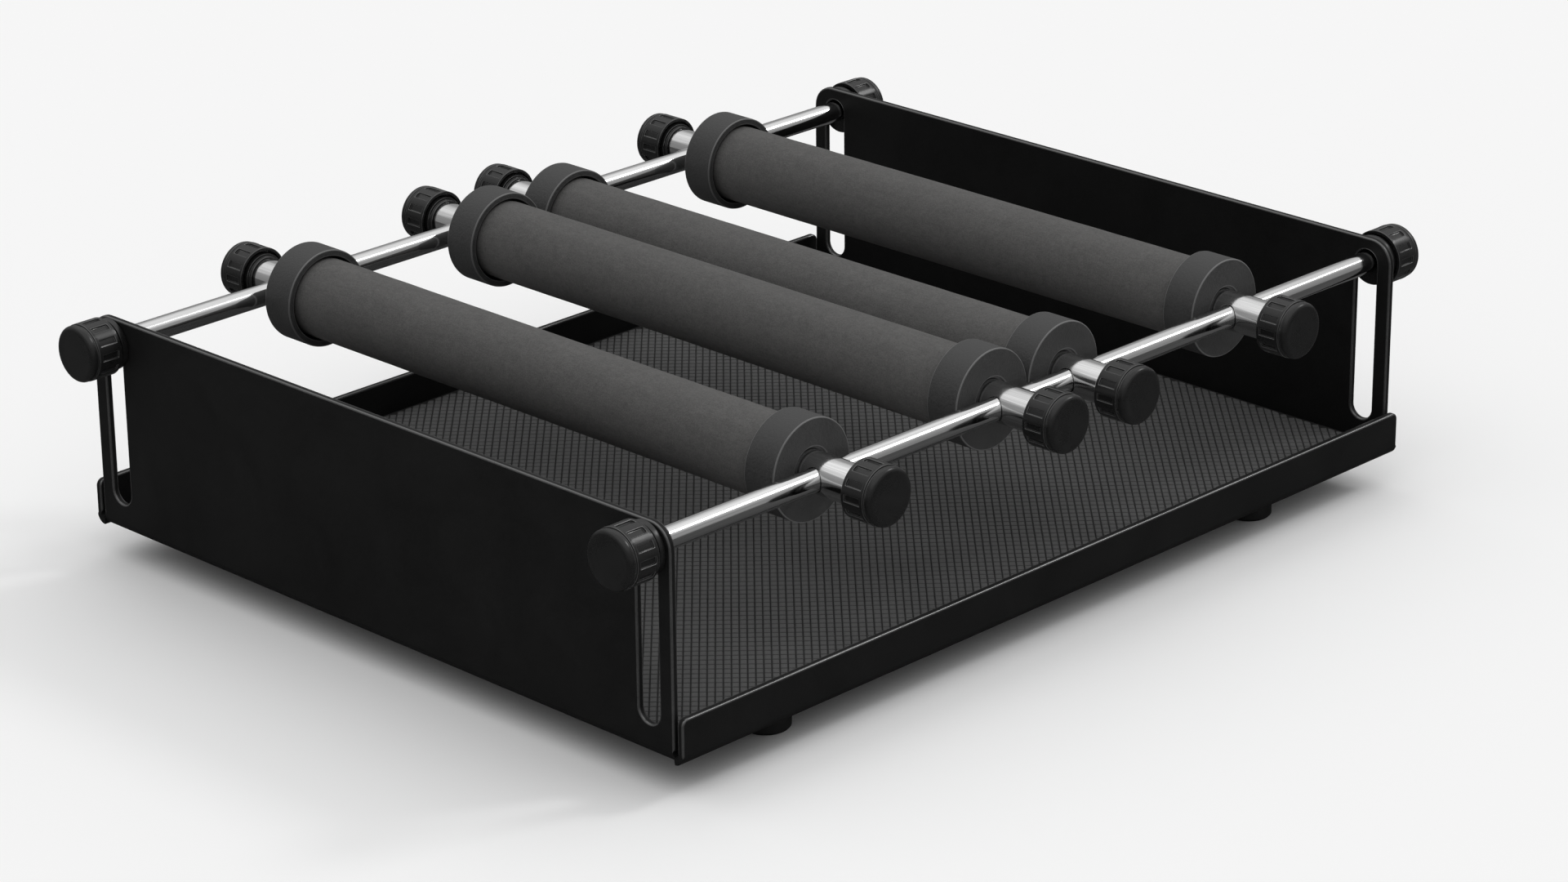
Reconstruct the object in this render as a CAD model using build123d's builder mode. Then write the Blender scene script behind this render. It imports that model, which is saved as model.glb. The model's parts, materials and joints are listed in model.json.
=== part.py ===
"""Vessel tray of a laboratory shaker: a folded sheet tray with two height-adjustable rods
and four foam clamp rollers that slide along them.

Millimetres. +Z up, origin on the standing surface under the middle of the tray.
X runs along the rods, Y along the rollers, and the open lip at -Y is the front.
"""

import os

from build123d import *

# Tray sheet
tray_length = 290.0
tray_width = 235.0
sheet = 2.0
bend_inner = 1.0
bend_outer = bend_inner + sheet
side_height = 64.0
lip_height = 13.0
side_corner_radius = 7.0
lip_corner_radius = 2.0
slit_width = 1.3
relief_diameter = 2.2
slot_width = 7.6
slot_end_inset = 8.6
slot_top_inset = 7.4
slot_floor = 8.5

# Feet and the fasteners under the tray
foot_height = 9.5
foot_diameter = 13.5
foot_inset_x = 46.5
foot_inset_y = 17.0
foot_edge = 0.8
screw_diameter = 4.0
screw_head_diameter = 7.4
screw_head_height = 2.4
screw_head_depth = 4.6
foot_nut_diameter = 7.0
table_nut_diameter = 7.6
table_nut_bore = 4.2
table_nut_drop = 3.0
table_nut_spacing = 120.0

# Floor mat
mat_thickness = 1.8
mat_margin = 1.6
mat_corner_radius = 1.0

# Rods
rod_diameter = 6.4
rod_recess = 0.6
stud_diameter = 4.0
stud_depth = 11.0

# Rollers, placed along the rods
roller_1_place = -80.7
roller_2_place = -11.8
roller_gap = 0.5
roller_4_place = 85.3
tube_diameter = 11.0
tube_bore = 8.5
foam_diameter = 23.1
cap_diameter = 28.3
cap_length = 10.5
cap_floor = 1.5
cap_mouth_gap = 0.7
cap_to_rod = 2.0
cap_eye_depth = 0.9
cap_eye_gap = 0.8

# Knobs
knob_diameter = 16.4
knob_skirt = 7.5
groove_width = 0.5
groove_depth = 0.5
crown_height = 2.0
crown_inset = 0.15
crown_edge = 0.9
flute_count = 12
flute_width = 1.9
flute_depth = 0.55
flute_end_gap = 1.1
rim_width = 0.9
back_recess = 1.6
hub_step = 0.9
hub_ring_drop = 0.7
knob_to_lip = 0.8
clamp_travel = 1.4
pad_wrap = 1.2
pad_length = 3.3
collar_diameter = 14.6
collar_thickness = 1.9

# Clearances
seat_gap = 0.1
running_gap = 0.1
press_gap = 0.02
edge_chamfer = 0.3

# Heights and lengths that follow
base_z = foot_height
floor_z = base_z + sheet
side_top_z = base_z + side_height
rod_z = side_top_z - slot_top_inset
slot_floor_z = base_z + slot_floor
side_half_width = tray_width / 2 - sheet - slit_width
rod_y = side_half_width - slot_end_inset
rod_end = tray_length / 2 - rod_recess
cap_face = rod_y - rod_diameter / 2 - cap_to_rod
cap_cavity = cap_face - cap_floor
knob_back = tray_width / 2 + knob_to_lip
hub_length = 2 * hub_step
tube_end = knob_back - hub_length - seat_gap
pad_face = rod_y + rod_diameter / 2 - pad_wrap + pad_length
stud_tip = pad_face + seat_gap
plug_start = pad_face + clamp_travel + seat_gap
collar_face = tray_length / 2 + seat_gap
rod_knob_back = collar_face + collar_thickness + seat_gap + hub_step
roller_3_place = roller_2_place + cap_diameter + roller_gap
roller_places = (roller_1_place, roller_2_place, roller_3_place, roller_4_place)

os.makedirs("parts", exist_ok=True)


def save(piece, name):
    """Label a finished piece and write it under its own name."""
    piece.label = name
    export_step(piece, f"parts/{name}.step")


def channel(width, height, corner):
    """Outline of a sheet bent up at both ends, standing on the sketch's X axis."""
    with BuildSketch() as hollow:
        with Locations((0, sheet + height / 2)):
            Rectangle(width - 2 * sheet, height)
        fillet(hollow.vertices().group_by(Axis.Y)[0], corner)
    with BuildSketch() as outline:
        with Locations((0, height / 2)):
            Rectangle(width, height)
        fillet(outline.vertices().group_by(Axis.Y)[0], corner + sheet)
        add(hollow.sketch, mode=Mode.SUBTRACT)
    return outline.sketch


def foot_places():
    """Centres of the four feet, seen from above."""
    return GridLocations(tray_length - 2 * foot_inset_x, tray_width - 2 * foot_inset_y, 2, 2)


def table_nut_places():
    """Centres of the four nuts that hold the tray on a shaker's table."""
    return GridLocations(table_nut_spacing, table_nut_spacing, 2, 2)


def make_tray():
    """One sheet folded on four sides: high slotted sides at both X ends, low lips along X."""
    front_view = Plane.XZ.offset(-side_half_width) * Location((0, base_z))
    end_view = Plane.YZ.offset(-tray_length / 2) * Location((0, base_z))
    corner_y = side_half_width + slit_width / 2
    with BuildPart() as tray:
        # The two lips with the floor between them
        with BuildSketch(end_view):
            add(channel(tray_width, lip_height, bend_inner))
        extrude(amount=tray_length)
        lip_ends = tray.edges().filter_by(Axis.Y).group_by(Axis.Z)[-1]
        fillet(lip_ends, lip_corner_radius)
        # The floor's ends make room for the bends of the sides
        with BuildSketch(Plane.XY.offset(base_z)):
            with GridLocations(tray_length, 0, 2, 1):
                Rectangle(2 * bend_outer, 2 * side_half_width)
        extrude(amount=lip_height, mode=Mode.SUBTRACT)
        with BuildSketch(front_view):
            add(channel(tray_length, side_height, bend_inner))
        extrude(amount=2 * side_half_width)
        side_corners = tray.edges().filter_by(Axis.X).group_by(Axis.Z)[-1]
        fillet(side_corners, side_corner_radius)
        # Round reliefs at the foot of each corner slit
        for side in (-1, 1):
            with BuildSketch(Plane.YZ.offset(side * tray_length / 2)):
                with GridLocations(2 * corner_y, 0, 2, 1):
                    with Locations((0, base_z + bend_outer)):
                        Circle(relief_diameter / 2)
            extrude(amount=-side * bend_outer, mode=Mode.SUBTRACT)
        # Height slots for the rods
        with BuildSketch(Plane.YZ):
            with GridLocations(2 * rod_y, 0, 2, 1):
                with Locations((0, (rod_z + slot_floor_z + slot_width / 2) / 2)):
                    SlotCenterToCenter(rod_z - slot_floor_z - slot_width / 2, slot_width, rotation=90)
        extrude(amount=tray_length, both=True, mode=Mode.SUBTRACT)
        # Holes for the pressed-in nuts
        with BuildSketch(Plane.XY.offset(base_z)):
            with foot_places():
                Circle(foot_nut_diameter / 2 + press_gap)
            with table_nut_places():
                Circle(table_nut_diameter / 2 + press_gap)
        extrude(amount=sheet, mode=Mode.SUBTRACT)
    return tray.part


def make_mat():
    """Rubber sheet that lies on the tray's floor."""
    with BuildPart() as mat:
        with BuildSketch(Plane.XY.offset(floor_z)):
            RectangleRounded(
                tray_length - 2 * sheet - 2 * mat_margin,
                tray_width - 2 * sheet - 2 * mat_margin,
                mat_corner_radius,
            )
        extrude(amount=mat_thickness)
    return mat.part


def make_foot(place):
    """Rubber foot with a recess below for the head of its screw."""
    with BuildPart() as foot:
        with BuildSketch(Plane.XY):
            with Locations(place):
                Circle(foot_diameter / 2)
        extrude(amount=foot_height)
        chamfer(foot.edges().group_by(Axis.Z)[0], foot_edge)
        with BuildSketch(Plane.XY):
            with Locations(place):
                Circle(screw_head_diameter / 2 + 4 * running_gap)
        extrude(amount=screw_head_depth, mode=Mode.SUBTRACT)
        with BuildSketch(Plane.XY):
            with Locations(place):
                Circle(screw_diameter / 2 + running_gap)
        extrude(amount=foot_height, mode=Mode.SUBTRACT)
    return foot.part


def make_foot_screws():
    """Pan-head screws that hold the feet, driven from below."""
    with BuildPart() as screws:
        with BuildSketch(Plane.XY.offset(screw_head_depth)):
            with foot_places():
                Circle(screw_diameter / 2)
        extrude(amount=floor_z - screw_head_depth)
        with BuildSketch(Plane.XY.offset(screw_head_depth - screw_head_height)):
            with foot_places():
                Circle(screw_head_diameter / 2)
        extrude(amount=screw_head_height)
        with BuildSketch(Plane.XY.offset(screw_head_depth - screw_head_height)):
            with foot_places():
                RegularPolygon(screw_diameter / 3, 6)
        extrude(amount=screw_head_height / 2, mode=Mode.SUBTRACT)
    return screws.part


def make_nuts(places, outer, bore, drop=0):
    """Round nuts pressed into the tray's floor: flush above, and standing out below by the drop."""
    with BuildPart() as nuts:
        with BuildSketch(Plane.XY.offset(base_z - drop)):
            with places:
                Circle(outer / 2)
                Circle(bore / 2, mode=Mode.SUBTRACT)
        extrude(amount=drop + sheet)
    return nuts.part


def make_rod(side):
    """Round rod with a stud hole in each end; side is -1 at the front, 1 at the rear."""
    start = Plane(origin=(-rod_end, side * rod_y, rod_z), x_dir=(0, 1, 0), z_dir=(1, 0, 0))
    with BuildPart() as rod:
        with BuildSketch(start):
            Circle(rod_diameter / 2)
        extrude(amount=2 * rod_end)
        chamfer(rod.faces().filter_by(Axis.X).edges(), edge_chamfer)
        with BuildSketch(start, start.offset(2 * rod_end - stud_depth)):
            Circle(stud_diameter / 2 + running_gap / 2)
        extrude(amount=stud_depth, mode=Mode.SUBTRACT)
    return rod.part


def make_tube(x):
    """Roller axle: a tube that the two rods cross near its ends."""
    start = Plane(origin=(x, -tube_end, rod_z), x_dir=(1, 0, 0), z_dir=(0, 1, 0))
    with BuildPart() as tube:
        with BuildSketch(start):
            Circle(tube_diameter / 2)
            Circle(tube_bore / 2, mode=Mode.SUBTRACT)
        extrude(amount=2 * tube_end)
        rims = tube.faces().filter_by(Axis.Y).edges().filter_by(GeomType.CIRCLE)
        chamfer(rims.filter_by(lambda rim: rim.radius > tube_bore / 2 + edge_chamfer), edge_chamfer)
        with BuildSketch(Plane.YZ.offset(x)):
            with GridLocations(2 * rod_y, 0, 2, 1):
                with Locations((0, rod_z)):
                    Circle(rod_diameter / 2 + running_gap)
        extrude(amount=tube_diameter, both=True, mode=Mode.SUBTRACT)
    return tube.part


def make_foam(x):
    """Foam sleeve that grips the vessels."""
    start = Plane(origin=(x, seat_gap - cap_cavity, rod_z), x_dir=(1, 0, 0), z_dir=(0, 1, 0))
    with BuildPart() as foam:
        with BuildSketch(start):
            Circle(foam_diameter / 2)
            Circle(tube_diameter / 2 + seat_gap, mode=Mode.SUBTRACT)
        extrude(amount=2 * (cap_cavity - seat_gap))
    return foam.part


def make_cap(x, side):
    """Cup on the end of the foam: its mouth faces the roller's middle."""
    outside = Plane(origin=(x, side * cap_face, rod_z), x_dir=(1, 0, 0), z_dir=(0, -side, 0))
    with BuildPart() as cap:
        with BuildSketch(outside):
            Circle(cap_diameter / 2)
            Circle(tube_diameter / 2 + seat_gap, mode=Mode.SUBTRACT)
        extrude(amount=cap_length)
        with BuildSketch(outside.offset(cap_floor)):
            Circle(foam_diameter / 2 + cap_mouth_gap)
        extrude(amount=cap_length - cap_floor, mode=Mode.SUBTRACT)
        with BuildSketch(outside):
            Circle(tube_diameter / 2 + cap_eye_gap)
        extrude(amount=cap_eye_depth, mode=Mode.SUBTRACT)
        outer_rims = cap.edges().group_by(Axis(outside.origin, outside.z_dir))[0]
        chamfer(outer_rims.sort_by(SortBy.RADIUS)[-1], edge_chamfer)
    return cap.part


def make_plugs(x):
    """Threaded plugs pressed into both ends of a tube, seen here without their threads."""
    with BuildPart() as plugs:
        for side in (-1, 1):
            inner = Plane(origin=(x, side * plug_start, rod_z), x_dir=(1, 0, 0), z_dir=(0, side, 0))
            with BuildSketch(inner):
                Circle(tube_bore / 2 - press_gap)
                Circle(stud_diameter / 2 + running_gap / 2, mode=Mode.SUBTRACT)
            extrude(amount=tube_end - plug_start)
    return plugs.part


def make_pad(x, side):
    """Pressure pad inside the tube, hollowed to sit on the rod."""
    outer = Plane(origin=(x, side * pad_face, rod_z), x_dir=(1, 0, 0), z_dir=(0, -side, 0))
    with BuildPart() as pad:
        with BuildSketch(outer):
            Circle(tube_bore / 2 - running_gap)
        extrude(amount=pad_length)
        with BuildSketch(Plane.YZ.offset(x)):
            with Locations((side * rod_y, rod_z)):
                Circle(rod_diameter / 2 + seat_gap)
        extrude(amount=tube_diameter, both=True, mode=Mode.SUBTRACT)
    return pad.part


def knob_outline(hub_steps):
    """Half section of a knob: X is the radius, Y the distance outwards from the skirt's back."""
    corner = (Align.MIN, Align.MIN)
    radius = knob_diameter / 2
    recess_radius = radius - rim_width
    ring = recess_radius - hub_ring_drop
    hub_back = -hub_steps * hub_step
    bore_end = knob_skirt - flute_end_gap
    with BuildSketch() as outline:
        Rectangle(radius, knob_skirt, align=corner)
        with Locations((ring, 0)):
            Rectangle(recess_radius - ring, back_recess, align=corner, mode=Mode.SUBTRACT)
        with Locations((0, knob_skirt)):
            Rectangle(radius - groove_depth, groove_width, align=corner)
        with Locations((0, knob_skirt + groove_width)):
            Rectangle(radius - crown_inset, crown_height, align=corner)
        chamfer(outline.vertices().group_by(Axis.Y)[-1].sort_by(Axis.X)[-1], crown_edge)
        for step in range(hub_steps):
            with Locations((0, -(step + 1) * hub_step)):
                Rectangle(ring - step * hub_ring_drop, hub_step, align=corner)
        with Locations((0, hub_back)):
            Rectangle(stud_diameter / 2 + press_gap, bore_end - hub_back, align=corner, mode=Mode.SUBTRACT)
    return outline.sketch


def make_knob(seat, hub_steps, stud_length):
    """Fluted knob on a steel stud; the seat plane lies at the skirt's back and faces outwards."""
    section = Plane(origin=seat.origin, x_dir=seat.x_dir, z_dir=-seat.y_dir)
    with BuildPart() as head:
        with BuildSketch(section):
            add(knob_outline(hub_steps))
        revolve(axis=Axis(seat.origin, seat.z_dir))
        with BuildSketch(seat.offset(flute_end_gap)):
            with PolarLocations(knob_diameter / 2, flute_count):
                Rectangle(2 * flute_depth, flute_width)
        extrude(amount=knob_skirt - 2 * flute_end_gap, mode=Mode.SUBTRACT)
    with BuildPart() as stud:
        with BuildSketch(seat.offset(knob_skirt - flute_end_gap - seat_gap)):
            Circle(stud_diameter / 2)
        extrude(amount=-stud_length)
    return Compound(children=[head.part, stud.part])


def make_collar(seat):
    """Loose collar between a rod knob and the tray's side; the seat plane is its inner face."""
    with BuildPart() as collar:
        with BuildSketch(seat):
            Circle(collar_diameter / 2)
            Circle(stud_diameter / 2 + running_gap, mode=Mode.SUBTRACT)
        extrude(amount=collar_thickness)
    return collar.part


save(make_tray(), "tray")
save(make_mat(), "floor_mat")
save(make_foot_screws(), "foot_screws")
save(make_nuts(foot_places(), foot_nut_diameter, screw_diameter + 2 * press_gap), "foot_nuts")
save(make_nuts(table_nut_places(), table_nut_diameter, table_nut_bore, table_nut_drop), "table_nuts")

foot_corners = ("front_left", "rear_left", "front_right", "rear_right")
with foot_places() as corners:
    foot_centres = [place.position for place in corners.locations]
for corner, centre in zip(foot_corners, foot_centres):
    save(make_foot((centre.X, centre.Y)), f"foot_{corner}")

ends = {"front": -1, "rear": 1}
for end, y_side in ends.items():
    save(make_rod(y_side), f"{end}_rod")
    for hand, x_side in {"left": -1, "right": 1}.items():
        collar_seat = Plane(
            origin=(x_side * collar_face, y_side * rod_y, rod_z), x_dir=(0, 1, 0), z_dir=(x_side, 0, 0)
        )
        knob_seat = collar_seat.offset(rod_knob_back - collar_face)
        save(make_collar(collar_seat), f"rod_collar_{end}_{hand}")
        rod_stud = rod_knob_back - rod_end + stud_depth + knob_skirt - flute_end_gap - 2 * seat_gap
        save(make_knob(knob_seat, 1, rod_stud), f"rod_knob_{end}_{hand}")

for number, roller_x in enumerate(roller_places, start=1):
    save(make_tube(roller_x), f"roller_tube_{number}")
    save(make_foam(roller_x), f"roller_foam_{number}")
    save(make_plugs(roller_x), f"tube_plugs_{number}")
    for end, y_side in ends.items():
        save(make_cap(roller_x, y_side), f"end_cap_{number}_{end}")
        save(make_pad(roller_x, y_side), f"pressure_pad_{number}_{end}")
        knob_seat = Plane(origin=(roller_x, y_side * knob_back, rod_z), x_dir=(1, 0, 0), z_dir=(0, y_side, 0))
        axle_stud = knob_back - stud_tip + knob_skirt - flute_end_gap - seat_gap
        save(make_knob(knob_seat, 2, axle_stud), f"roller_knob_{number}_{end}")
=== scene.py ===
"""Looks of a shaker's vessel tray: black folded sheet, ribbed mat, chrome rods, foam clamp rollers.

Metres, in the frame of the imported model: +Z up, X along the rods, Y along the rollers.
"""

import json
import math
from contextlib import contextmanager

import bmesh
import bpy
from mathutils import Matrix, Quaternion, Vector

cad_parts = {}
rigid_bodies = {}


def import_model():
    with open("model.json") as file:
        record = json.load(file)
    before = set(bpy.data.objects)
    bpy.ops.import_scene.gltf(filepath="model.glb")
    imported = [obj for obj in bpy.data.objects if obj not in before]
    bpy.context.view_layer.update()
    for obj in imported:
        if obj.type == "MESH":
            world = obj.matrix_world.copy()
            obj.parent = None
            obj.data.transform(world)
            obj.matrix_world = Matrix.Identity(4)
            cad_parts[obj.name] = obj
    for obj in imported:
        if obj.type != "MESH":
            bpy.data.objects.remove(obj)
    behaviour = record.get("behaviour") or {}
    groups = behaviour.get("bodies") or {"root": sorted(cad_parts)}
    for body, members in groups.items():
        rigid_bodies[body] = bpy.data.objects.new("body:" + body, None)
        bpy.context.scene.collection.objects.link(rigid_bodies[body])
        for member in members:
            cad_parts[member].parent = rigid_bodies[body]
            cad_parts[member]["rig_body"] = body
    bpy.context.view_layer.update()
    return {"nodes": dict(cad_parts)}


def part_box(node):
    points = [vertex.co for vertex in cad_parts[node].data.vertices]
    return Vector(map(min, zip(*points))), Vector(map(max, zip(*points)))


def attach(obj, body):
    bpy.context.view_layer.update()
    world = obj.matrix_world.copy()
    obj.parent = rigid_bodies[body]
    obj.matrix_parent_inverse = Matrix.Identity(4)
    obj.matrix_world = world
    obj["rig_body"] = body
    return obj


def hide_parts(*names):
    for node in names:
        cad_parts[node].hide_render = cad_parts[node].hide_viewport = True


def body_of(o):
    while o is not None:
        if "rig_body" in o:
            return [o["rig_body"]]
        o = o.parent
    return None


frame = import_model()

mm = 0.001
same_place = 0.01 * mm
weld_reach = 0.001 * mm

# Tray sheet
sheet = 2 * mm
bend_radius = 3 * mm
bend_steps = 6
lip_height = 13 * mm
slit = 1.3 * mm
side_corner = 7 * mm
lip_corner = 2 * mm
corner_steps = 8
relief_radius = 1.1 * mm
relief_sides = 32
slot_radius = 3.8 * mm
slot_floor = 18 * mm
slot_sides = 64
foot_nut_diameter = 7 * mm
table_nut_diameter = 7.6 * mm
nut_hole_sides = 64
press_gap = 0.02 * mm

# Mat
rib_pitch = 2.1 * mm
rib_length = 2.85 * mm
rib_slope = 0.3 * mm
rib_rise = 0.35 * mm
plain_margin = 1 * mm

# Round pieces
round_sides = 128
along_axis = 0.9
tube_wall = 1.25 * mm
cross_hole_gap = 0.1 * mm
tube_seat_gap = 0.1 * mm
foam_sides = 96
foam_rings = 60
foam_lump_size = 12 * mm
foam_lump_height = 0.12 * mm
mouth_gap = 0.7 * mm
cap_floor = 1.5 * mm
eye_gap = 0.8 * mm
eye_depth = 0.9 * mm
stud_radius = 2 * mm
stud_sides = 32
stud_hole_gap = 0.05 * mm
stud_hole_depth = 11 * mm
collar_bore_gap = 0.1 * mm
thread_pitch = 0.7 * mm
thread_root = 0.86

# Knobs
flute_count = 12
flute_sides = 4
plain_sides = 5
knob_skirt = 7.5 * mm
flute_end = 1.1 * mm
flute_depth = 0.55 * mm
groove = 0.5 * mm
crown_height = 2 * mm
crown_inset = 0.15 * mm
crown_round = 1.3 * mm
crown_steps = 6
dish_depth = 0.12 * mm
dish_rim = 0.9
dish_floor = 0.7
rim = 0.9 * mm
back_recess = 1.6 * mm
hub_step = 0.9 * mm
hub_ring = 0.7 * mm
knob_height = knob_skirt + groove + crown_height
stud_bore_end = knob_skirt - flute_end
stud_end_gap = 0.1 * mm

# Feet
foot_chamfer = 0.8 * mm
screw_recess_radius = 4.1 * mm
screw_recess_depth = 4.6 * mm
screw_hole_radius = 2.1 * mm

# Rounded edges
sharp_angle = math.radians(35)
smooth_angle = math.radians(40)
sheet_edge = 0.5 * mm
sheet_edge_steps = 3
rod_edge = 0.3 * mm
tube_edge = 0.25 * mm
cap_edge = 0.35 * mm
cap_edge_steps = 3
collar_edge = 0.3 * mm
foot_edge = 0.25 * mm
knob_edge = 0.16 * mm
own_slot = -1
painted_highlight_slot = 1

# Patterns of the materials
mid_tones = (0.35, 0.65)
most_tones = (0.3, 0.7)
band_coarseness = 0.2
band_lift = 0.5
speck_softness = 0.04
speck_strength = 0.3
scratch_strength = 0.4
# How much paler the rib tops are than the grooves: dust on the ribs, and painted shade in the grooves
dust_and_shade_by_height = 0.62
dust_in_grain = 0.5
dust_in_specks = 0.25
coat_paleness = 1.7
knob_paleness = 1.5
cap_paleness = 2

# Camera, as the photograph's tray, rods and feet give it
camera_place = (-0.87685, -0.87314, 0.51232)
camera_azimuth = math.radians(-45.49)
camera_elevation = math.radians(21.55)
camera_roll = math.radians(-0.53)
camera_lens = 107.21

# Studio
floor_radius = 6
floor_sides = 96
background = 0.93
# Dim grey painted for the floor where it is seen in reflections: painted shade
floor_painted_dim_in_reflections = 0.1
glow_at_horizon = 0.3
glow_overhead = 0.56
softbox_glow = 0.68
softbox_edge = (0.45, 0.75)
lamp_strength = 0.42
lamp_width = math.radians(12)
lamp_side = (0.66, -0.3, 0.65)

# Places read from the frame
tray_low, tray_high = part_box("tray")
rod_low, rod_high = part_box("front_rod")
rod_y = -(rod_low.y + rod_high.y) / 2
rod_z = (rod_low.z + rod_high.z) / 2
rod_radius = (rod_high.z - rod_low.z) / 2
tube_low, tube_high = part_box("roller_tube_1")
tube_radius = (tube_high.x - tube_low.x) / 2
tube_seat = tube_radius + tube_seat_gap
foam_low, foam_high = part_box("roller_foam_1")
foam_radius = (foam_high.x - foam_low.x) / 2
side_edge = tray_high.y - sheet - slit
ends = {"front": -1, "rear": 1}
hands = {"left": -1, "right": 1}
roller_numbers = range(1, 5)


# Modelling aids

def select_only(*pieces):
    """Select these objects alone, with the first of them active."""
    bpy.ops.object.select_all(action="DESELECT")
    for piece in pieces:
        piece.select_set(True)
    bpy.context.view_layer.objects.active = pieces[0]


@contextmanager
def editing(piece):
    """Open one piece in edit mode with nothing picked."""
    select_only(piece)
    bpy.ops.object.mode_set(mode="EDIT")
    bpy.ops.mesh.select_all(action="DESELECT")
    yield
    bpy.ops.object.mode_set(mode="OBJECT")


def new_piece(name):
    """Name the primitive that was added last and bring its place into its mesh."""
    bpy.ops.object.transform_apply(location=True, rotation=True, scale=True)
    piece = bpy.context.object
    piece.name = name
    piece.data.name = name
    return piece


def pick(kind, wanted):
    """Pick the corners, edges or faces of the open mesh that a test lets through."""
    bpy.ops.mesh.select_mode(type=kind)
    bpy.ops.mesh.select_all(action="DESELECT")
    mesh = bpy.context.edit_object.data
    shape = bmesh.from_edit_mesh(mesh)
    parts = {"VERT": shape.verts, "EDGE": shape.edges, "FACE": shape.faces}[kind]
    for part in parts:
        if wanted(part):
            part.select_set(True)
    shape.select_flush_mode()
    bmesh.update_edit_mesh(mesh)


def middle(edge):
    return (edge.verts[0].co + edge.verts[1].co) / 2


def heading(edge):
    return (edge.verts[1].co - edge.verts[0].co).normalized()


def near(value, target):
    """True where two measures are the same but for rounding."""
    return abs(value - target) < same_place


def cut_across(place, normal):
    """Cut the whole open mesh along a plane, keeping both sides."""
    bpy.ops.mesh.select_all(action="SELECT")
    bpy.ops.mesh.bisect(plane_co=place, plane_no=normal)


def keep_inside(place, normal):
    """Cut the whole open mesh along a plane and drop what lies beyond it."""
    bpy.ops.mesh.select_all(action="SELECT")
    bpy.ops.mesh.bisect(plane_co=place, plane_no=normal, clear_outer=True)


def extrude(x=0, y=0, z=0):
    """Extrude what is picked and move it."""
    bpy.ops.mesh.extrude_region_move(TRANSFORM_OT_translate={"value": (x, y, z)})


def stretch(x=1, y=1, z=1):
    """Scale what is picked about the origin."""
    bpy.ops.transform.resize(value=(x, y, z), center_override=(0, 0, 0))


def round_bar(name, radius, low, high, sides=round_sides):
    """Start of a round piece about the Z axis."""
    bpy.ops.object.select_all(action="DESELECT")
    bpy.ops.mesh.primitive_cylinder_add(
        vertices=sides, radius=radius, depth=high - low, location=(0, 0, (low + high) / 2)
    )
    return new_piece(name)


def is_end(face):
    """True for a flat end of a round piece, the only kind of face with more than four corners."""
    return len(face.verts) > 4 and abs(face.normal.z) > along_axis


def pick_end(way):
    """Pick the flat end of a round piece that faces up for 1 or down for -1."""
    pick("FACE", lambda face: is_end(face) and face.normal.z * way > 0)


def step_to(radius, height):
    """Extrude the picked end of a round piece to another radius and height."""
    shape = bmesh.from_edit_mesh(bpy.context.edit_object.data)
    corner = next(corner.co.copy() for corner in shape.verts if corner.select)
    growth = radius / corner.xy.length
    extrude(z=height - corner.z)
    stretch(growth, growth)


def join_ends():
    """Open a bore between the two flat ends of a round piece."""
    pick("FACE", is_end)
    bpy.ops.mesh.bridge_edge_loops()


def apply_modifier(piece, kind, **settings):
    """Add a modifier to a piece and apply it."""
    select_only(piece)
    modifier = piece.modifiers.new(kind.title(), kind)
    for setting, value in settings.items():
        setattr(modifier, setting, value)
    bpy.ops.object.modifier_apply(modifier=modifier.name)


def soften(piece, width, segments=2, slot=own_slot):
    """Round the sharp edges a little; the rounded strips may take a material slot of their own, which holds
    a paler material as a painted highlight.
    """
    apply_modifier(
        piece, "BEVEL", width=width, segments=segments, limit_method="ANGLE",
        angle_limit=sharp_angle, use_clamp_overlap=False, material=slot,
    )


def smooth(piece):
    """Shade a finished piece smooth, with its flat faces kept flat to the eye."""
    select_only(piece)
    bpy.ops.object.shade_smooth_by_angle(angle=smooth_angle)
    apply_modifier(piece, "WEIGHTED_NORMAL", keep_sharp=True)


def join(pieces):
    """Join pieces to one object."""
    select_only(*pieces)
    bpy.ops.object.join()
    return pieces[0]


def cut_out(piece, cutters):
    """Take the cutters' shapes out of a piece and remove the cutters."""
    cutter = join(cutters)
    apply_modifier(piece, "BOOLEAN", operation="DIFFERENCE", solver="EXACT", object=cutter)
    bpy.data.objects.remove(cutter)


def facing(place, outwards):
    """Matrix that brings a piece modelled about the Z axis to its place, facing outwards."""
    turn = Vector(outwards).to_track_quat("Z", "Y").to_matrix().to_4x4()
    return Matrix.Translation(place) @ turn


def moved(piece, matrix):
    """Move a piece within its own mesh."""
    piece.data.transform(matrix)
    return piece


def copy_to(model, name, matrix):
    """Copy a finished model, with a mesh of its own, to the place of one piece."""
    piece = bpy.data.objects.new(name, model.data.copy())
    bpy.context.collection.objects.link(piece)
    piece.data.name = name
    return moved(piece, matrix)


def clear_away(*models):
    """Remove the models that the copies were made from."""
    for model in models:
        bpy.data.objects.remove(model)


def paint(piece, *materials):
    """Give a piece its material, or one for its faces and another, paler as a painted highlight, for its
    rounded edges.
    """
    piece.data.materials.clear()
    for material in materials:
        piece.data.materials.append(material)


def ride_with(piece, node):
    """Let a piece ride on a node's body."""
    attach(piece, body_of(frame["nodes"][node])[0])


def stand_for(piece, node):
    """Let a piece take a node's place."""
    ride_with(piece, node)
    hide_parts(node)


# Folded tray and its mat

def fold_up(along_x, side, fold, height):
    """Fold the picked edges of the floor up round a bend, then draw them up to a height."""
    bend_z = tray_low.z + bend_radius
    if along_x:
        centre, axis, quarter = (0, side * fold, bend_z), (1, 0, 0), -side
    else:
        centre, axis, quarter = (side * fold, 0, bend_z), (0, 1, 0), side
    bpy.ops.mesh.spin(steps=bend_steps, angle=quarter * math.pi / 2, center=centre, axis=axis)
    extrude(z=height - bend_radius)


def round_corners(wanted, radius):
    """Round the sheet's corners that the test picks."""
    pick("VERT", wanted)
    bpy.ops.mesh.bevel(offset=radius, segments=corner_steps, affect="VERTICES", clamp_overlap=False)


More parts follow.
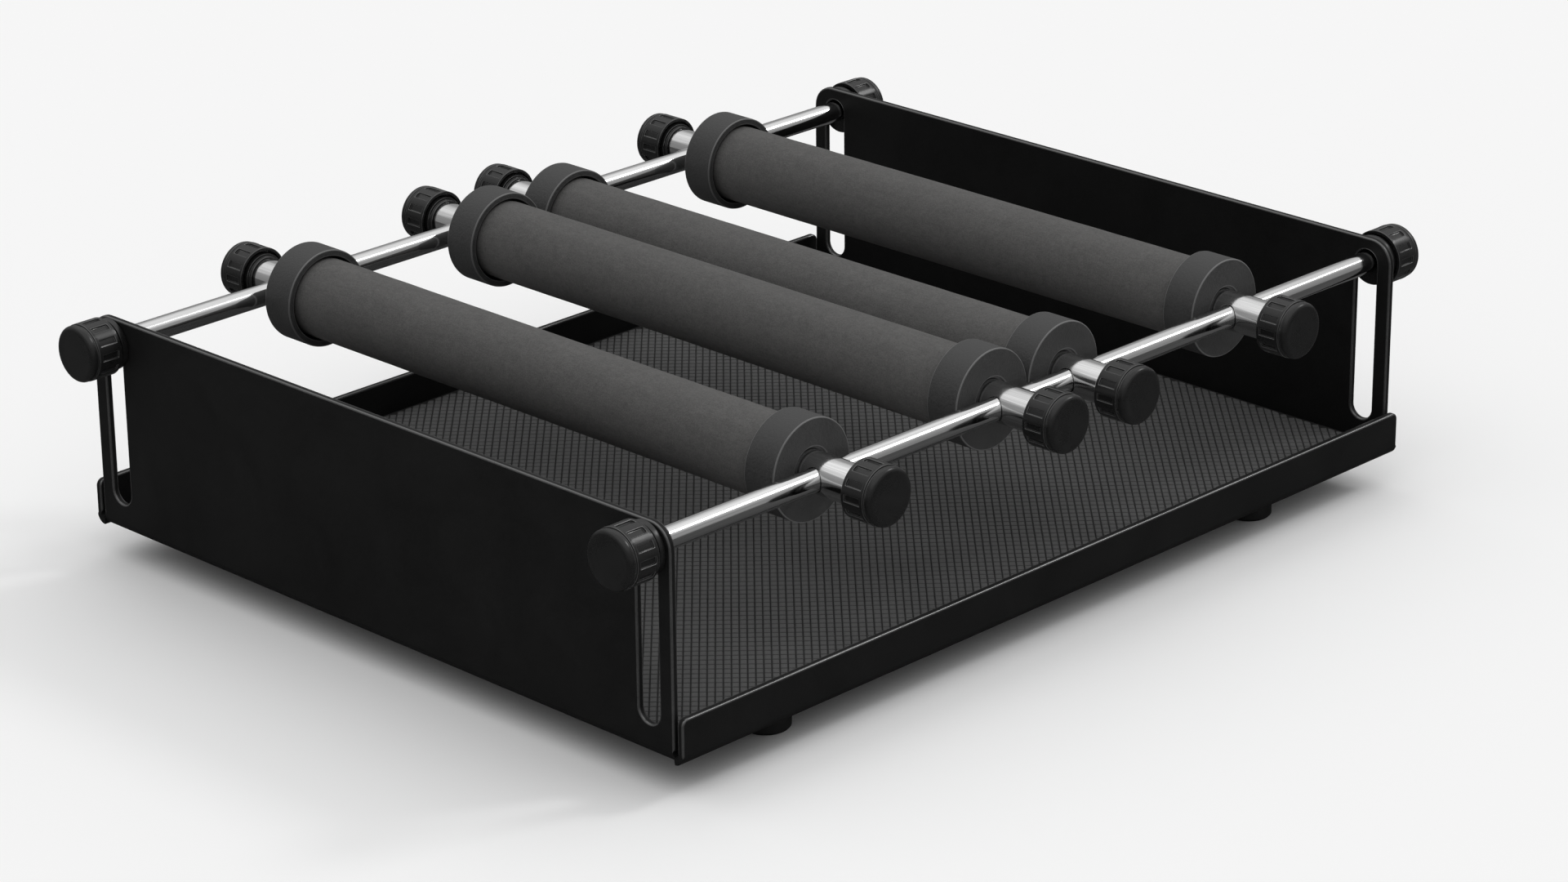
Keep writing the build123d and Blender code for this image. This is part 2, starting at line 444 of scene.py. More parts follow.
def make_height_slots(side):
    """Cutter for the two slots that one rod is raised and lowered in."""
    reach = tray_high.x + sheet
    travel = rod_z - slot_floor - slot_radius
    cutter = round_bar("height_slots", slot_radius, -reach, reach, sides=slot_sides)
    with editing(cutter):
        bpy.ops.mesh.select_all(action="SELECT")
        half_side = math.pi / slot_sides
        bpy.ops.transform.rotate(value=half_side, orient_axis="Z", center_override=(0, 0, 0))
        pick("VERT", lambda corner: corner.co.x > 0)
        bpy.ops.transform.translate(value=(travel, 0, 0))
    low_end = Vector((0, side * rod_y, rod_z - travel))
    return moved(cutter, Matrix.Translation(low_end) @ Matrix.Rotation(-math.pi / 2, 4, "Y"))


def make_relief(x_side, y_side):
    """Cutter for the round relief at the foot of a corner slit."""
    cutter = round_bar("relief", relief_radius, -bend_radius, sheet, sides=relief_sides)
    place = (x_side * tray_high.x, y_side * (side_edge + slit / 2), tray_low.z + bend_radius)
    return moved(cutter, facing(place, (x_side, 0, 0)))


def make_nut_holes(node, diameter):
    """Cutters for the holes that a node's four nuts are pressed into."""
    low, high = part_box(node)
    radius = diameter / 2
    cutters = []
    for x in (low.x + radius, high.x - radius):
        for y in (low.y + radius, high.y - radius):
            cutter = round_bar("nut_hole", radius + press_gap, -sheet, 2 * sheet, sides=nut_hole_sides)
            cutters.append(moved(cutter, Matrix.Translation((x, y, tray_low.z))))
    return cutters


def make_tray():
    """Folded sheet: two high slotted sides, two low lips, a slit and a relief at each corner."""
    base = tray_low.z
    bend_top = base + bend_radius
    lip_top = base + lip_height
    lip_fold = tray_high.y - bend_radius
    side_fold = tray_high.x - bend_radius
    bpy.ops.object.select_all(action="DESELECT")
    bpy.ops.mesh.primitive_plane_add(size=1, location=(0, 0, base))
    tray = new_piece("tray_sheet")
    paint(tray, coat_faces, coat_edges_painted_highlight)
    with editing(tray):
        bpy.ops.mesh.select_all(action="SELECT")
        stretch(2 * tray_high.x, 2 * lip_fold)
        # The floor ends at the folds of the sides, and the folds of the lips run on to the corners
        for side in (-1, 1):
            cut_across((side * side_fold, 0, base), (1, 0, 0))
        pick("FACE", lambda face: abs(face.calc_center_median().x) > side_fold)
        bpy.ops.mesh.delete(type="ONLY_FACE")
        pick("EDGE", lambda edge: near(abs(middle(edge).x), tray_high.x))
        bpy.ops.mesh.delete(type="EDGE")
        for side in (-1, 1):
            pick("EDGE", lambda edge: near(middle(edge).y, side * lip_fold) and near(middle(edge).z, base))
            fold_up(True, side, lip_fold, lip_height)
            pick("EDGE", lambda edge: near(middle(edge).x, side * side_fold) and near(middle(edge).y, 0))
            fold_up(False, side, side_fold, tray_high.z - base)
        # The high sides are a little narrower than the floor, which opens the slits
        pick("VERT", lambda corner: near(abs(corner.co.y), lip_fold) and corner.co.z > base + same_place)
        stretch(y=side_edge / lip_fold)
        round_corners(lambda corner: near(corner.co.z, tray_high.z), side_corner)
        round_corners(
            lambda corner: near(corner.co.z, lip_top) and near(abs(corner.co.x), tray_high.x), lip_corner
        )
        bpy.ops.mesh.select_all(action="SELECT")
        bpy.ops.mesh.remove_doubles(threshold=weld_reach)
        bpy.ops.mesh.normals_make_consistent(inside=False)
    apply_modifier(tray, "SOLIDIFY", thickness=sheet, offset=-1, use_even_offset=True)
    cut_out(tray, [make_height_slots(side) for side in (-1, 1)])
    # Above the bends all sharp edges of the sheet are rounded, those of the slots too
    with editing(tray):
        pick("EDGE", lambda edge: edge.calc_face_angle() > sharp_angle and middle(edge).z > bend_top)
        # The rounded strips take the slot of the paler edge coat, a painted highlight
        bpy.ops.mesh.bevel(
            offset=sheet_edge, segments=sheet_edge_steps, affect="EDGES", clamp_overlap=False,
            material=painted_highlight_slot,
        )
    reliefs = [make_relief(x_side, y_side) for x_side in (-1, 1) for y_side in (-1, 1)]
    foot_nut_holes = make_nut_holes("foot_nuts", foot_nut_diameter)
    table_nut_holes = make_nut_holes("table_nuts", table_nut_diameter)
    cut_out(tray, reliefs + foot_nut_holes + table_nut_holes)
    smooth(tray)
    return tray


def make_mat():
    """Rubber mat with oblong ribs in rows along both diagonals and a plain margin."""
    low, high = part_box("floor_mat")
    ribbed = Vector((high.x - plain_margin, high.y - plain_margin))
    reach = (ribbed.x + ribbed.y) * math.sqrt(2)
    rows, columns = math.ceil(reach / rib_length), math.ceil(reach / rib_pitch)
    groove_z = high.z - rib_rise
    bpy.ops.object.select_all(action="DESELECT")
    bpy.ops.mesh.primitive_grid_add(
        x_subdivisions=rows, y_subdivisions=columns, size=1,
        location=(0, 0, groove_z), rotation=(0, 0, math.pi / 4),
    )
    bpy.context.object.scale = (rows * rib_length, columns * rib_pitch, 1)
    mat = new_piece("ribbed_mat")
    with editing(mat):
        for side in (-1, 1):
            keep_inside((side * ribbed.x, 0, 0), (side, 0, 0))
            keep_inside((0, side * ribbed.y, 0), (0, side, 0))
        # Whole cells become ribs; slivers at the margin stay low
        least_rib = rib_length * rib_pitch / 2
        pick("FACE", lambda face: face.calc_area() > least_rib)
        bpy.ops.mesh.inset(thickness=rib_slope, depth=rib_rise, use_individual=True)
        # The margin goes round the ribs and down to the tray
        bpy.ops.mesh.select_all(action="SELECT")
        bpy.ops.mesh.region_to_loop()
        extrude()
        stretch(high.x / ribbed.x, high.y / ribbed.y)
        extrude(z=low.z - groove_z)
        bpy.ops.mesh.edge_face_add()
        bpy.ops.mesh.select_all(action="SELECT")
        bpy.ops.mesh.normals_make_consistent(inside=False)
    return mat


# Turned and moulded pieces, each modelled about the Z axis

def make_rod():
    """Ground rod with a stud hole in each end."""
    half = rod_high.x
    hole_radius = stud_radius + stud_hole_gap
    rod = round_bar("rod", rod_radius, -half, half)
    with editing(rod):
        for way in (-1, 1):
            pick_end(way)
            step_to(hole_radius, way * half)
            step_to(hole_radius, way * (half - stud_hole_depth))
    soften(rod, rod_edge)
    smooth(rod)
    return rod


def make_tube():
    """Roller axle with two cross holes for the rods."""
    tube = round_bar("tube", tube_radius, tube_low.y, tube_high.y)
    with editing(tube):
        for way in (-1, 1):
            pick_end(way)
            step_to(tube_radius - tube_wall, way * tube_high.y)
        join_ends()
    reach = 2 * tube_radius
    cross_holes = []
    for side in (-1, 1):
        cutter = round_bar("cross_hole", rod_radius + cross_hole_gap, -reach, reach)
        cross_holes.append(moved(cutter, facing((0, 0, side * rod_y), (1, 0, 0))))
    cut_out(tube, cross_holes)
    soften(tube, tube_edge)
    smooth(tube)
    return tube


def make_foam():
    """Foam sleeve with slight lumps in its outside."""
    mid_wall = (foam_radius + tube_seat) / 2
    foam = round_bar("foam", foam_radius - foam_lump_height / 2, foam_low.y, foam_high.y, sides=foam_sides)
    with editing(foam):
        for way in (-1, 1):
            pick_end(way)
            step_to(tube_seat, way * foam_high.y)
        join_ends()
        pick(
            "EDGE",
            lambda edge: abs(heading(edge).z) > along_axis and middle(edge).xy.length > mid_wall,
        )
        bpy.ops.mesh.subdivide(number_cuts=foam_rings)
    lumps = bpy.data.textures.new("lumps", "CLOUDS")
    lumps.noise_scale = foam_lump_size
    outer_corners = [corner.index for corner in foam.data.vertices if corner.co.xy.length > mid_wall]
    outside = foam.vertex_groups.new(name="outside")
    outside.add(outer_corners, 1, "ADD")
    apply_modifier(foam, "DISPLACE", texture=lumps, strength=foam_lump_height, vertex_group="outside")
    smooth(foam)
    return foam


def make_cap():
    """End cap: a cup whose mouth takes the foam, with a sunk eye for the tube; z = 0 is its face."""
    low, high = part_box("end_cap_1_front")
    length = high.y - low.y
    mouth = foam_radius + mouth_gap
    eye = tube_radius + eye_gap
    cap = round_bar("cap", (high.x - low.x) / 2, -length, 0)
    paint(cap, cap_rubber, cap_rim_painted_highlight)
    with editing(cap):
        pick_end(-1)
        step_to(mouth, -length)
        step_to(mouth, -cap_floor)
        step_to(tube_seat, -cap_floor)
        pick_end(1)
        step_to(eye, 0)
        step_to(eye, -eye_depth)
        step_to(tube_seat, -eye_depth)
        join_ends()
    soften(cap, cap_edge, segments=cap_edge_steps, slot=painted_highlight_slot)
    smooth(cap)
    return cap


def make_collar():
    """Loose collar of a rod knob; z = 0 is its inner face."""
    low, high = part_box("rod_collar_front_left")
    thickness = high.x - low.x
    collar = round_bar("collar", (high.y - low.y) / 2, 0, thickness)
    with editing(collar):
        for way, height in ((-1, 0), (1, thickness)):
            pick_end(way)
            step_to(stud_radius + collar_bore_gap, height)
        join_ends()
    soften(collar, collar_edge)
    smooth(collar)
    return collar


def make_foot():
    """Rubber foot with a chamfered tread and a recess for its screw."""
    low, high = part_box("foot_front_left")
    radius = (high.x - low.x) / 2
    foot = round_bar("foot", radius, foot_chamfer, high.z)
    with editing(foot):
        pick_end(-1)
        step_to(radius - foot_chamfer, 0)
        step_to(screw_recess_radius, 0)
        step_to(screw_recess_radius, screw_recess_depth)
        step_to(screw_hole_radius, screw_recess_depth)
        pick_end(1)
        step_to(screw_hole_radius, high.z)
        join_ends()
    soften(foot, foot_edge)
    smooth(foot)
    return foot


def in_flute(face):
    """True where a face of the knob's skirt lies in one of its flutes."""
    place = face.calc_center_median()
    turn = math.degrees(math.atan2(place.y, place.x))
    pitch = 360 / flute_count
    off_middle = abs((turn + pitch / 2) % pitch - pitch / 2)
    flute_width = pitch * flute_sides / (flute_sides + plain_sides)
    return flute_end < place.z < knob_skirt - flute_end and off_middle < flute_width / 2


def make_knob(hub_steps):
    """Fluted knob with a round-edged crown; z = 0 is the skirt's back and its hub lies below."""
    low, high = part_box("rod_knob_front_left")
    radius = (high.y - low.y) / 2
    recess = radius - rim
    ring = recess - hub_ring
    bore = stud_radius + press_gap
    crown = radius - crown_inset
    flat = crown - crown_round
    knob = round_bar("knob", radius, 0, knob_skirt, sides=flute_count * (flute_sides + plain_sides))
    paint(knob, knob_faces, knob_edges_painted_highlight)
    with editing(knob):
        # Flutes in the skirt
        for height in (flute_end, knob_skirt - flute_end):
            cut_across((0, 0, height), (0, 0, 1))
        pick("FACE", in_flute)
        bpy.ops.mesh.extrude_region_shrink_fatten(TRANSFORM_OT_shrink_fatten={"value": -flute_depth})
        # Groove, crown and its faint dish
        pick_end(1)
        step_to(radius - groove, knob_skirt)
        step_to(radius - groove, knob_skirt + groove)
        step_to(crown, knob_skirt + groove)
        step_to(crown, knob_height)
        pick("EDGE", lambda edge: near(middle(edge).z, knob_height))
        bpy.ops.mesh.bevel(offset=crown_round, segments=crown_steps, affect="EDGES")
        pick_end(1)
        step_to(flat * dish_rim, knob_height)
        step_to(flat * dish_floor, knob_height - dish_depth)
        # Rim, recess and stepped hub, and the bore for the stud
        pick_end(-1)
        step_to(recess, 0)
        step_to(recess, back_recess)
        step_to(ring, back_recess)
        step_to(ring, -hub_step)
        for step in range(1, hub_steps):
            step_to(ring - step * hub_ring, -step * hub_step)
            step_to(ring - step * hub_ring, -(step + 1) * hub_step)
        step_to(bore, -hub_steps * hub_step)
        step_to(bore, stud_bore_end)
    soften(knob, knob_edge, slot=painted_highlight_slot)
    smooth(knob)
    return knob


def make_stud(tip):
    """Steel stud with the rings of its thread, from inside the knob down to its tip."""
    top = stud_bore_end - stud_end_gap
    rings = round((top - tip) / thread_pitch) * 2
    ring_height = (top - tip) / rings
    stud = round_bar("stud", stud_radius, tip, top, sides=stud_sides)
    with editing(stud):
        pick("EDGE", lambda edge: abs(heading(edge).z) > along_axis)
        bpy.ops.mesh.subdivide(number_cuts=rings - 1)
        pick("VERT", lambda corner: round((corner.co.z - tip) / ring_height) % 2 == 0)
        stretch(thread_root, thread_root)
    smooth(stud)
    return stud


# Shader parts that several materials share

def node_group(name, inputs, outputs):
    """Empty shader group over a place, with named number inputs and outputs."""
    group = bpy.data.node_groups.new(name, "ShaderNodeTree")
    group.interface.new_socket("Place", in_out="INPUT", socket_type="NodeSocketVector")
    for label, value in inputs.items():
        socket = group.interface.new_socket(label, in_out="INPUT", socket_type="NodeSocketFloat")
        socket.default_value = value
    for label in outputs:
        group.interface.new_socket(label, in_out="OUTPUT", socket_type="NodeSocketFloat")
    return group, group.nodes.new("NodeGroupInput").outputs, group.nodes.new("NodeGroupOutput").inputs


def connect(tree, source, socket):
    """Link a socket, or write a plain number into it."""
    if isinstance(source, (int, float)):
        socket.default_value = source
    else:
        tree.links.new(source, socket)


def noise(tree, place, scale, detail=4.0, roughness=0.6, distortion=0.0):
    """Noise over a place."""
    node = tree.nodes.new("ShaderNodeTexNoise")
    connect(tree, place, node.inputs["Vector"])
    connect(tree, scale, node.inputs["Scale"])
    for label, value in (("Detail", detail), ("Roughness", roughness), ("Distortion", distortion)):
        connect(tree, value, node.inputs[label])
    return node.outputs["Fac"]


def calculate(tree, operation, *values):
    """One sum on numbers or sockets."""
    node = tree.nodes.new("ShaderNodeMath")
    node.operation = operation
    for value, socket in zip(values, node.inputs):
        connect(tree, value, socket)
    return node.outputs["Value"]


def spread(tree, value, span, new_span):
    """Map a value from one span to another, held at its ends."""
    node = tree.nodes.new("ShaderNodeMapRange")
    for label, amount in zip(("From Min", "From Max", "To Min", "To Max"), (*span, *new_span)):
        connect(tree, amount, node.inputs[label])
    connect(tree, value, node.inputs["Value"])
    return node.outputs["Result"]


def make_grain_group():
    """Fine grain over soft mottling: Height for bumps, Tone for colour and roughness."""
    inputs = {"Grain Scale": 2500.0, "Mottle Scale": 60.0, "Grain Share": 0.5}
    group, given, made = node_group("grain_and_mottle", inputs, ("Height", "Tone"))
    grain = noise(group, given["Place"], given["Grain Scale"], detail=3.0)
    mottle = noise(group, given["Place"], given["Mottle Scale"], detail=6.0, distortion=0.6)
    grain_off = calculate(group, "SUBTRACT", grain, mottle)
    connect(group, grain, made["Height"])
    connect(group, calculate(group, "MULTIPLY_ADD", grain_off, given["Grain Share"], mottle), made["Tone"])
    return group


def make_lines_group():
    """Fine drawn lines with broader bands between them; the place is squeezed along the lines."""
    group, given, made = node_group("drawn_lines", {"Line Scale": 900.0}, ("Height", "Tone"))
    lines = noise(group, given["Place"], given["Line Scale"], detail=5.0, roughness=0.7)
    broad = calculate(group, "MULTIPLY", given["Line Scale"], band_coarseness)
    bands = noise(group, given["Place"], broad, detail=2.0)
    strength = calculate(group, "ADD", bands, band_lift)
    connect(group, lines, made["Height"])
    connect(group, calculate(group, "MULTIPLY", lines, strength), made["Tone"])
    return group


def make_specks_group():
    """Scattered specks of lint and dust: Mask is one on a speck."""
    group, given, made = node_group("dust_specks", {"Speck Scale": 700.0, "Sparseness": 0.74}, ("Mask",))
    specks = noise(group, given["Place"], given["Speck Scale"], detail=2.0)
    edge = calculate(group, "ADD", given["Sparseness"], speck_softness)
    connect(group, spread(group, specks, (given["Sparseness"], edge), (0.0, 1.0)), made["Mask"])
    return group


def object_place(tree, squeeze=(1, 1, 1)):
    """Object coordinates, squeezed along the axis that a pattern is drawn out on."""
    place = tree.nodes.new("ShaderNodeTexCoord").outputs["Object"]
    mapping = tree.nodes.new("ShaderNodeMapping")
    mapping.inputs["Scale"].default_value = squeeze
    connect(tree, place, mapping.inputs["Vector"])
    return mapping.outputs["Vector"]


def place_group(tree, group, place, **values):
    """Put a shared group into a material, with its own values."""
    node = tree.nodes.new("ShaderNodeGroup")
    node.node_tree = group
    connect(tree, place, node.inputs["Place"])
    for label, value in values.items():
        node.inputs[label.replace("_", " ").title()].default_value = value
    return node.outputs


def grey(value, warmth=0.0):
    """Grey colour, a little warmer or cooler."""
    return (value * (1 + warmth), value, value * (1 - warmth), 1)


def colour_by(tree, shader, tone, span, low, high):
    """Let a tone bring the surface from one colour to another while it runs over a span."""
    node = tree.nodes.new("ShaderNodeValToRGB")
    for stop, place, colour in zip(node.color_ramp.elements, span, (low, high)):
        stop.position = place
        stop.color = colour
    connect(tree, tone, node.inputs["Fac"])
    connect(tree, node.outputs["Color"], shader.inputs["Base Color"])


def roughen_by(tree, shader, tone, span, roughness):
    """Let a tone bring the surface from one roughness to another while it runs over a span."""
    connect(tree, spread(tree, tone, span, roughness), shader.inputs["Roughness"])


def bump(tree, height, shader, depth):
    """Raise the surface by a height."""
    node = tree.nodes.new("ShaderNodeBump")
    node.inputs["Distance"].default_value = depth
    connect(tree, height, node.inputs["Height"])
    connect(tree, node.outputs["Normal"], shader.inputs["Normal"])


def new_material(name, metallic=0.0, specular=0.5):
    """Material with a plain surface shader, ready for its pattern."""
    material = bpy.data.materials.new(name)
    material.use_nodes = True
    shader = material.node_tree.nodes["Principled BSDF"]
    shader.inputs["Metallic"].default_value = metallic
    shader.inputs["Specular IOR Level"].default_value = specular
    return material, material.node_tree, shader


# Materials

def make_powder_coat(name, darkness, specular, roughness):
    """Black powder coat: satin, with the fine orange peel of baked powder."""
    material, tree, shader = new_material(name, specular=specular)
    grain = place_group(tree, grain_group, object_place(tree), grain_scale=1900, mottle_scale=45)
    colour_by(tree, shader, grain["Tone"], mid_tones, grey(darkness), grey(darkness * coat_paleness))
    roughen_by(tree, shader, grain["Tone"], mid_tones, roughness)
    bump(tree, grain["Height"], shader, depth=0.012 * mm)
    return material


def make_mat_rubber():
    """Ribbed rubber: grey with dust on the ribs, nearly black in the grooves, darkened there partly by dirt
    and partly by painted shade.
    """
    material, tree, shader = new_material("mat_rubber", specular=0.3)
    place = object_place(tree)
    grain = place_group(tree, grain_group, place, grain_scale=2600, mottle_scale=30, grain_share=0.4)
    dust = place_group(tree, specks_group, place, speck_scale=900, sparseness=0.72)
    split = tree.nodes.new("ShaderNodeSeparateXYZ")
    connect(tree, place, split.inputs["Vector"])
    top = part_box("floor_mat")[1].z
    # Lower towards the grooves the rubber is painted darker: partly dirt, partly painted shade
    dust_and_groove_shade = spread(tree, split.outputs["Z"], (top - rib_rise, top), (0.0, dust_and_shade_by_height))
    dust_and_groove_shade = calculate(tree, "MULTIPLY_ADD", grain["Tone"], dust_in_grain, dust_and_groove_shade)
    dust_and_groove_shade = calculate(tree, "MULTIPLY_ADD", dust["Mask"], dust_in_specks, dust_and_groove_shade)
    colour_by(tree, shader, dust_and_groove_shade, span=(0.2, 1.0), low=grey(0.008), high=grey(0.1))
    roughen_by(tree, shader, grain["Tone"], most_tones, roughness=(0.62, 0.85))
    bump(tree, grain["Height"], shader, depth=0.02 * mm)
    return material


def make_foam_rubber():
    """Closed-cell foam: a dull dark grey, mottled and finely scratched."""
    material, tree, shader = new_material("foam_rubber", specular=0.2)
    place = object_place(tree)
    grain = place_group(tree, grain_group, place, grain_scale=2300, mottle_scale=420, grain_share=0.7)
    scratches = place_group(tree, lines_group, object_place(tree, (1, 0.3, 1)), line_scale=1600)
    dust = place_group(tree, specks_group, place, speck_scale=1100, sparseness=0.73)
    scratched = calculate(tree, "MULTIPLY", scratches["Tone"], scratch_strength)
    tone = calculate(tree, "ADD", grain["Tone"], scratched)
    tone = calculate(tree, "MULTIPLY_ADD", dust["Mask"], speck_strength, tone)
    dark, pale = grey(0.055, warmth=0.01), grey(0.135, warmth=0.02)
    colour_by(tree, shader, tone, span=(0.35, 1.0), low=dark, high=pale)
    roughen_by(tree, shader, grain["Tone"], most_tones, roughness=(0.82, 0.97))
    bump(tree, tone, shader, depth=0.09 * mm)
    return material


def make_cap_rubber(name, light, specular, grain_scale, depth):
    """Moulded rubber of the end caps, with grain as fine or coarse as its scale and depth say."""
    material, tree, shader = new_material(name, specular=specular)
    place = object_place(tree)
    grain = place_group(tree, grain_group, place, grain_scale=grain_scale, mottle_scale=70, grain_share=0.6)
    dust = place_group(tree, specks_group, place, speck_scale=1000, sparseness=0.75)
    tone = calculate(tree, "MULTIPLY_ADD", dust["Mask"], speck_strength, grain["Tone"])
    colour_by(tree, shader, tone, span=(0.3, 0.8), low=grey(light / cap_paleness), high=grey(light))
    roughen_by(tree, shader, grain["Tone"], mid_tones, roughness=(0.5, 0.75))
    bump(tree, grain["Height"], shader, depth)
    return material


def make_chrome(name, squeeze):
    """Bright drawn chrome with faint lines along the bar."""
    material, tree, shader = new_material(name, metallic=1.0)
    lines = place_group(tree, lines_group, object_place(tree, squeeze), line_scale=1300)
    colour_by(tree, shader, lines["Tone"], most_tones, low=grey(0.5), high=grey(0.72))
    roughen_by(tree, shader, lines["Tone"], most_tones, roughness=(0.16, 0.06))
    bump(tree, lines["Height"], shader, depth=0.006 * mm)
    return material


def make_knob_plastic(name, darkness, specular, roughness):
    """Glossy black moulded plastic, handled a little dull in places."""
    material, tree, shader = new_material(name, specular=specular)
    place = object_place(tree)
    grain = place_group(tree, grain_group, place, grain_scale=3200, mottle_scale=110, grain_share=0.3)
    colour_by(tree, shader, grain["Tone"], mid_tones, grey(darkness), grey(darkness * knob_paleness))
    roughen_by(tree, shader, grain["Tone"], mid_tones, roughness)
    bump(tree, grain["Height"], shader, depth=0.003 * mm)
    return material


def make_foot_rubber():
    """Matte black rubber of the feet, scuffed with grey."""
    material, tree, shader = new_material("foot_rubber", specular=0.25)
    grain = place_group(tree, grain_group, object_place(tree), grain_scale=2000, mottle_scale=120)
    colour_by(tree, shader, grain["Tone"], span=(0.35, 0.7), low=grey(0.009), high=grey(0.022))
    roughen_by(tree, shader, grain["Tone"], mid_tones, roughness=(0.6, 0.82))
    bump(tree, grain["Height"], shader, depth=0.02 * mm)
    return material


def make_zinc_steel():
    """Zinc-plated steel: pale, with cloudy roughness."""
    material, tree, shader = new_material("zinc_steel", metallic=1.0)
    grain = place_group(tree, grain_group, object_place(tree), grain_scale=2400, mottle_scale=260)
    colour_by(tree, shader, grain["Tone"], most_tones, low=grey(0.42), high=grey(0.62))
    roughen_by(tree, shader, grain["Tone"], most_tones, roughness=(0.25, 0.5))
    bump(tree, grain["Height"], shader, depth=0.004 * mm)
    return material


def make_pad_nylon():
    """Natural nylon of the pressure pads."""
    material, tree, shader = new_material("pad_nylon", specular=0.4)
    grain = place_group(tree, grain_group, object_place(tree), grain_scale=2200, mottle_scale=200)
    dark, pale = grey(0.55, warmth=0.06), grey(0.72, warmth=0.04)
    colour_by(tree, shader, grain["Tone"], most_tones, low=dark, high=pale)
    roughen_by(tree, shader, grain["Tone"], most_tones, roughness=(0.35, 0.55))
    bump(tree, grain["Height"], shader, depth=0.006 * mm)
    return material


# Putting the pieces in their places

def dress_tray():
    """Sheet, mat, feet and the fasteners under the tray."""
    stand_for(make_tray(), "tray")
    mat = make_mat()
    paint(mat, mat_rubber)
    stand_for(mat, "floor_mat")
    foot_model = make_foot()
    paint(foot_model, foot_rubber)
    for end in ends:
        for hand in hands:
            node = f"foot_{end}_{hand}"
            low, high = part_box(node)
            place = ((low.x + high.x) / 2, (low.y + high.y) / 2, 0)
            stand_for(copy_to(foot_model, f"rubber_{node}", Matrix.Translation(place)), node)
    clear_away(foot_model)
    for node in ("foot_screws", "foot_nuts", "table_nuts"):
        paint(frame["nodes"][node], zinc_steel)


def place_knob(knob_model, stud_model, node, place):
    """A fluted knob in its node's place, and its stud with it."""
    stand_for(copy_to(knob_model, f"fluted_{node}", place), node)
    ride_with(copy_to(stud_model, f"stud_of_{node}", place), node)


def dress_rods():
    """The two rods with their collars, knobs and studs."""
    rod_model = make_rod()
    collar_model = make_collar()
    knob_model = make_knob(1)
    low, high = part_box("rod_knob_front_left")
    knob_back = -low.x - knob_height
    stud_model = make_stud(-high.x - knob_back)
    collar_face = -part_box("rod_collar_front_left")[1].x
    paint(rod_model, rod_chrome)
    paint(collar_model, knob_faces)
    paint(stud_model, zinc_steel)
    for end, y_side in ends.items():
        rod = copy_to(rod_model, f"chrome_{end}_rod", facing((0, y_side * rod_y, rod_z), (1, 0, 0)))
        stand_for(rod, f"{end}_rod")
        for hand, x_side in hands.items():
            collar_place = facing((x_side * collar_face, y_side * rod_y, rod_z), (x_side, 0, 0))
            collar = copy_to(collar_model, f"collar_{end}_{hand}", collar_place)
            stand_for(collar, f"rod_collar_{end}_{hand}")
            knob_place = facing((x_side * knob_back, y_side * rod_y, rod_z), (x_side, 0, 0))
            place_knob(knob_model, stud_model, f"rod_knob_{end}_{hand}", knob_place)
    clear_away(rod_model, collar_model, knob_model, stud_model)


def dress_rollers():
    """The four clamp rollers with their caps, pads, knobs and studs."""
    tube_model = make_tube()
    foam_model = make_foam()
    cap_model = make_cap()
    knob_model = make_knob(2)
    low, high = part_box("roller_knob_1_front")
    knob_back = -low.y - knob_height
    stud_model = make_stud(-high.y - knob_back)
    cap_face = -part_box("end_cap_1_front")[0].y
    paint(tube_model, tube_chrome)
    paint(foam_model, foam_rubber)
    paint(stud_model, zinc_steel)
    for number in roller_numbers:
        low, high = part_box(f"roller_tube_{number}")
        x = (low.x + high.x) / 2
        along = facing((x, 0, rod_z), (0, 1, 0))
        stand_for(copy_to(tube_model, f"chrome_tube_{number}", along), f"roller_tube_{number}")
        foam = copy_to(foam_model, f"foam_sleeve_{number}", along)
        stand_for(foam, f"roller_foam_{number}")
        paint(frame["nodes"][f"tube_plugs_{number}"], zinc_steel)
        for end, y_side in ends.items():
            cap_place = facing((x, y_side * cap_face, rod_z), (0, y_side, 0))
            cap = copy_to(cap_model, f"rubber_cap_{number}_{end}", cap_place)
            stand_for(cap, f"end_cap_{number}_{end}")
            knob_place = facing((x, y_side * knob_back, rod_z), (0, y_side, 0))
            place_knob(knob_model, stud_model, f"roller_knob_{number}_{end}", knob_place)
            paint(frame["nodes"][f"pressure_pad_{number}_{end}"], pad_nylon)
    clear_away(tube_model, foam_model, cap_model, knob_model, stud_model)


# Putting up the studio

def make_floor():
    """Pale floor that fills the view; in reflections a painted dim grey stands in for it, a painted shade.
    """
    bpy.ops.object.select_all(action="DESELECT")
    bpy.ops.mesh.primitive_circle_add(vertices=floor_sides, radius=floor_radius, fill_type="NGON")
    floor = new_piece("studio_floor")
    material, tree, shader = new_material("studio_floor", specular=0.0)
    reflected = tree.nodes.new("ShaderNodeLightPath").outputs["Is Glossy Ray"]
    colour_by(tree, shader, reflected, span=(0, 1), low=grey(background), high=grey(floor_painted_dim_in_reflections))
    shader.inputs["Roughness"].default_value = 1.0
    paint(floor, material)


